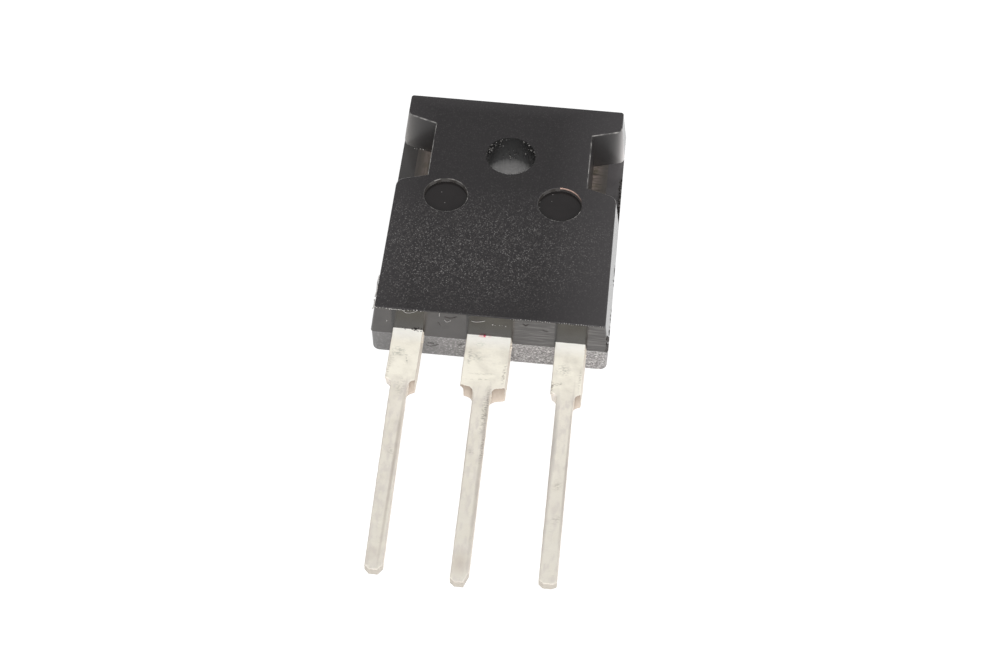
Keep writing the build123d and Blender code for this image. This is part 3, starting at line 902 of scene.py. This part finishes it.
def flash_and_burrs():
    """Flash, crumbs and threads of epoxy, scratches, and dirt and burrs at the leads' roots."""
    crumbs, threads = crumb_tree(), thread_tree()
    pale, dark, tin = broken_epoxy(), dark_flash(), thin_tin()
    seam_z = parting_z + 0.12
    along("parting_flash", crumbs,
          [[(side_x - 0.04, 1.0, seam_z), (side_x - 0.04, -2.9, seam_z)]],
          dark, "moulding_epoxy", Spacing=0.14, Size=0.2, Spread=0.08, Seed=3)
    along("parting_specks", crumbs,
          [[(side_x - 0.05, -7.2, seam_z), (side_x - 0.05, -8.8, seam_z)],
           [(side_x - 0.05, -11.0, seam_z), (side_x - 0.05, -14.5, seam_z)],
           [(side_x - 0.16, end_y + 0.2, 3.6), (side_x - 0.04, end_y + 0.08, 2.6)]],
          dark, "moulding_epoxy", Spacing=0.2, Size=0.2, Spread=0.1, Seed=8)
    along("bore_crumbs", crumbs,
          [bore_arc(start, end, front_z - depth) for start, end, depth in (
              (5, 28, 0.1), (35, 62, 0.12), (100, 118, 0.12), (125, 215, 0.12),
              (122, 150, 0.4), (142, 172, 0.6), (112, 128, 0.75), (28, 45, 0.45),
              (62, 72, 0.6), (88, 100, 1.2), (97, 113, 1.75), (76, 90, 1.55),
              (82, 96, 2.1), (88, 104, 1.9), (60, 66, 1.3))],
          bpy.data.materials["highlight_and_crumb_epoxy"], "moulding_epoxy",
          Spacing=0.13, Size=0.07, Spread=0.1, Seed=2)
    along("edge_chips", crumbs,
          [[(-7.5, end_y, 4.88), (-4.6, end_y, 4.9)], [(0.2, end_y, 4.15), (1.1, end_y, 4.1)],
           [(-6.9, end_y, 3.6), (-6.75, end_y, 3.6)], [(-7.62, -12.2, 4.9), (-7.6, -14.5, 4.9)],
           [(-7.2, 2.66, 2.05), (-6.4, 2.6, 2.05)], [(5.6, 2.8, 2.05), (5.6, 2.6, 2.3)]],
          pale, "moulding_epoxy", Spacing=0.2, Size=0.05, Spread=0.04, Seed=11)
    along("foot_chips", crumbs,
          [[(1.4, end_y, 4.92), (4.0, end_y, 4.92)], [(4.6, end_y, 4.92), (7.5, end_y, 4.92)]],
          pale, "moulding_epoxy", Spacing=0.16, Size=0.035, Spread=0.03, Seed=5)
    face_y = end_y - 0.012
    along("edge_threads", threads,
          [[(-6.7, face_y, 4.9), (-6.3, face_y, 4.88), (-5.8, face_y, 4.86),
            (-5.56, face_y, 4.63), (-5.22, face_y, 4.66), (-4.85, face_y, 4.88)],
           [(-3.31, face_y, 4.9), (-3.33, face_y, 4.55)],
           [(-3.0, face_y, 4.23), (-2.84, face_y, 4.03), (-2.55, face_y, 4.22)],
           [(-1.2, face_y, 4.36), (-0.95, face_y, 4.29), (-0.6, face_y, 4.36),
            (-0.3, face_y, 4.48)]],
          pale, "moulding_epoxy", Thickness=0.03)
    low_face_y = end_y + 0.015
    along("face_scratches", threads,
          [[(-4.25, low_face_y, 1.3), (-3.9, low_face_y, 1.2), (-3.4, low_face_y, 1.45)],
           [(-4.15, low_face_y, 1.55), (-3.7, low_face_y, 1.5)],
           [(-2.05, low_face_y, 1.55), (-1.8, low_face_y, 1.75)],
           [(-3.4, face_y, 3.85), (-3.3, face_y, 3.6)],
           [(-3.0, face_y, 4.5), (-2.6, face_y, 4.42), (-2.2, face_y, 4.6)],
           [(2.25, face_y, 4.5), (2.4, face_y, 4.32), (2.6, face_y, 4.5)],
           [(3.55, face_y, 4.0), (3.9, face_y, 3.9)]],
          dark, "moulding_epoxy", Thickness=0.05)
    along("corner_scratches", threads,
          [[(-7.68, -11.8, 4.93), (-7.74, -12.3, 4.8), (-7.69, -12.8, 4.93)],
           [(-7.72, -12.6, 4.85), (-7.68, -13.1, 4.94), (-7.74, -13.6, 4.8)],
           [(-7.8, -13.6, 4.5), (-7.7, -14.1, 4.9), (-7.67, -14.5, 4.95)],
           [(-7.84, -14.2, 4.3), (-7.72, -14.4, 4.8), (-7.68, -14.0, 4.95)]],
          pale, "moulding_epoxy", Thickness=0.08)
    along("root_dirt", crumbs,
          [[(-5.7, end_y - 0.05, lead_top_z), (-4.5, end_y - 0.05, lead_top_z)],
           [(-5.0, end_y - 0.15, lead_top_z), (-4.5, end_y - 0.15, lead_top_z)]],
          dark, "tinned_copper", Spacing=0.11, Size=0.05, Spread=0.06, Seed=6)
    lead_side = lead_top_z - 0.1
    along("root_burrs", crumbs,
          [[(-4.44, -14.75, lead_side), (-4.42, -15.5, lead_side - 0.15)],
           [(1.52, -15.0, lead_side), (1.54, -15.8, lead_side - 0.15)],
           [(6.47, -15.1, lead_side), (6.49, -15.5, lead_side - 0.15)]],
          tin, "tinned_copper", Spacing=0.09, Size=0.1, Spread=0.05, Seed=4)


# ---------------------------------------------------------------- stage, light and camera

def pale_floor():
    """Big pale sheet under the part. It looks white and keeps a soft trace of the shadow."""
    half, gap = 1.0, 0.01 * MM
    mesh = bpy.data.meshes.new("floor")
    corners = [(x, y, cad_box[0][2] - gap) for x, y in
               ((-half, -half), (half, -half), (half, half), (-half, half))]
    mesh.from_pydata(corners, [], [(0, 1, 2, 3)])
    material = bpy.data.materials.new("white_card")
    material.use_nodes = True
    tree = material.node_tree
    tree.nodes.clear()
    path = add(tree, "ShaderNodeLightPath").outputs
    seen = add(tree, MATH, {0: path["Is Glossy Ray"], 1: path["Is Transmission Ray"]},
               operation="MAXIMUM")
    seen = add(tree, MATH, {0: path["Is Camera Ray"], 1: seen}, operation="MAXIMUM")
    card = add(tree, "ShaderNodeBsdfDiffuse", {"Color": "#e7e7e7"})
    pale = add(tree, "ShaderNodeBsdfDiffuse", {"Color": "#898989"})
    glow = add(tree, "ShaderNodeEmission", {"Strength": 0.85})
    white = add(tree, "ShaderNodeAddShader", {0: pale, 1: glow})
    shader = add(tree, "ShaderNodeMixShader", {0: seen, 1: card, 2: white})
    add(tree, "ShaderNodeOutputMaterial", {"Surface": shader})
    mesh.materials.append(material)
    floor = bpy.data.objects.new("floor", mesh)
    bpy.context.scene.collection.objects.link(floor)


def softbox(name, place, target, size, power):
    """A square lamp in metres and watts, turned to its target."""
    lamp = bpy.data.lights.new(name, "AREA")
    lamp.shape = "SQUARE"
    lamp.size = size
    lamp.energy = power
    holder = bpy.data.objects.new(name, lamp)
    holder.location = place
    holder.rotation_euler = (Vector(target) - Vector(place)).to_track_quat("-Z", "Y").to_euler()
    bpy.context.scene.collection.objects.link(holder)


def lights():
    """Soft plain studio light: one large lamp in front, one on each side, and a pale world."""
    world = bpy.data.worlds.new("studio")
    world.use_nodes = True
    background = world.node_tree.nodes["Background"].inputs
    background["Color"].default_value = linear("#ffffff")
    background["Strength"].default_value = 0.38
    bpy.context.scene.world = world
    middle = (0, -0.014, 0.002)
    softbox("front_softbox", (0.05, -0.45, 0.35), middle, 0.35, 2.3)
    softbox("left_softbox", (-0.4, -0.2, 0.25), middle, 0.3, 1.05)
    softbox("right_softbox", (0.4, -0.15, 0.25), middle, 0.3, 1.35)


def camera():
    """Looks down at the front from the lead end, a little from the right."""
    place = Vector((7.009, -95.556, 107.494)) * MM
    elevation, azimuth, roll = radians(52.058), radians(4.435), radians(1.625)
    lens = bpy.data.cameras.new("camera")
    lens.lens = 71.5
    lens.sensor_width = 36.0
    lens.clip_start = 0.005
    holder = bpy.data.objects.new("camera", lens)
    forward = Vector((-sin(azimuth) * cos(elevation), cos(azimuth) * cos(elevation),
                      -sin(elevation)))
    level = forward.cross(Vector((0, 0, 1))).normalized()
    upward = level.cross(forward)
    right = level * cos(roll) + upward * sin(roll)
    up = right.cross(forward)
    turn = Matrix((right, up, -forward)).transposed().to_4x4()
    holder.matrix_world = Matrix.Translation(place) @ turn
    bpy.context.scene.collection.objects.link(holder)
    bpy.context.scene.camera = holder


moulded_body()
lead_finishes = [matte_tin(), thin_tin(), cut_tip(), sheared_copper(), tarnished_copper()]
dressed_lead("base_lead", "base_lead_tinned", lead_finishes)
dressed_lead("collector_leadframe", "collector_tinned", lead_finishes)
dressed_lead("emitter_lead", "emitter_lead_tinned", lead_finishes)

for name, material in (("darlington_die", passivated_silicon()),
                       ("die_attach_solder", soft_solder()),
                       ("base_bond_wire", drawn_aluminium()),
                       ("emitter_bond_wire", drawn_aluminium())):
    slots = frame["nodes"][name].data.materials
    slots.clear()
    slots.append(material)

flash_and_burrs()
pale_floor()
lights()
camera()
bpy.context.scene.view_settings.view_transform = "Standard"
